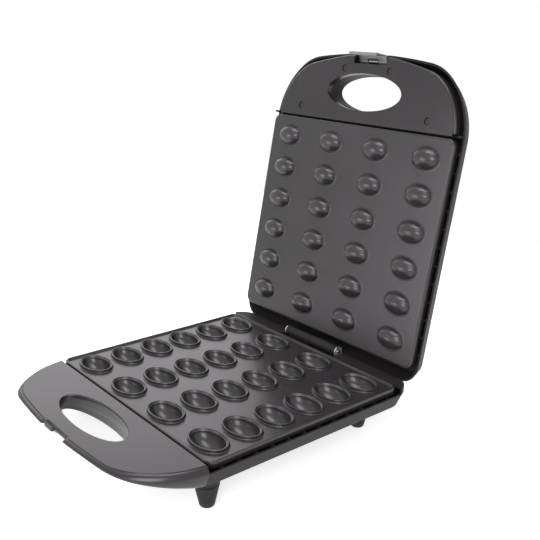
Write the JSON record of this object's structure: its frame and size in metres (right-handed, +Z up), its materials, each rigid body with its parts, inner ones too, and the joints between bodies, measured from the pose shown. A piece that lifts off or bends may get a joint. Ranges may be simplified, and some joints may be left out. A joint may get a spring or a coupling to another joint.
{
  "type": "walnut cake maker",
  "caption": "Countertop electric maker for walnut-shaped cakes, open: lower plate with walnut cavities, hinged lid with domes, grips with finger openings, latch.",
  "frame": {"origin": "middle of the overall box, at the worktop under the pads", "axes": "+X across to the right seen from the grips, +Y from the grips to the hinge, +Z up"},
  "size_m": [0.252, 0.3722, 0.3431],
  "materials": {
    "housing_plastic": "satin charcoal moulding",
    "grip_plastic": "smooth charcoal with a soft sheen",
    "catch_plastic": "near black",
    "nonstick_coating": "cast, dark satin non-stick coating",
    "screw_steel": "zinc plated",
    "blackened_steel": "blackened screw heads",
    "heater_sheath": "dull heat-treated sheath",
    "reflector_sheet": "bright rolled sheet",
    "control_body": "pressed steel case",
    "terminal_ceramic": "glazed white ceramic",
    "lead_sleeve": "heat-proof sleeve",
    "gland_rubber": "matt",
    "pad_rubber": "matt",
    "hinge_clip_metal": "light satin",
    "latch_silver": "silver-grey satin",
    "power_lens": "clear red",
    "ready_lens": "clear green",
    "lamp_glass": "small neon lamps"
  },
  "bodies": {
    "base": {"base_shell": "housing_plastic", "base_handle_panel": "grip_plastic", "catch": "catch_plastic", "base_plate": "nonstick_coating", "base_plate_screws": "screw_steel", "base_heater": "heater_sheath", "base_heater_clamps": "screw_steel", "base_reflector": "reflector_sheet", "thermostat": "control_body", "thermal_fuse": "control_body", "base_terminal_block": "terminal_ceramic", "base_wiring": "lead_sleeve", "cord_gland": "gland_rubber", "hinge_pin": "screw_steel", "hinge_clips": "hinge_clip_metal", "foot_screws": "screw_steel", "front_foot_left": "housing_plastic", "front_foot_right": "housing_plastic", "rear_foot_left": "housing_plastic", "rear_foot_right": "housing_plastic", "front_pad_left": "pad_rubber", "front_pad_right": "pad_rubber", "rear_pad_left": "pad_rubber", "rear_pad_right": "pad_rubber"},
    "lid": {"lid_shell": "housing_plastic", "lid_handle_panel": "grip_plastic", "lid_plate": "nonstick_coating", "lid_plate_screws": "screw_steel", "lid_panel_screws": "blackened_steel", "lid_heater": "heater_sheath", "lid_heater_clamps": "screw_steel", "lid_reflector": "reflector_sheet", "lid_terminal_block": "terminal_ceramic", "lid_wiring": "lead_sleeve", "power_lamp_lens": "power_lens", "ready_lamp_lens": "ready_lens", "indicator_lamps": "lamp_glass", "latch_pin": "screw_steel", "latch_spring": "screw_steel"},
    "latch": {"latch": "latch_silver"}
  },
  "joints": [
    {"name": "lid_hinge", "type": "hinge", "parent": "base", "child": "lid", "pos_m": [0, 0.10866, 0.051], "axis": [1, 0, 0], "range_deg": [0, 100.88]},
    {"name": "latch_pivot", "type": "hinge", "parent": "lid", "child": "latch", "pos_m": [0, 0.17484, 0.33176], "axis": [-1, 0, 0], "range_deg": [0, 20], "stiffness_Nm_per_rad": 0.02, "springref_deg": -11.46}
  ]
}
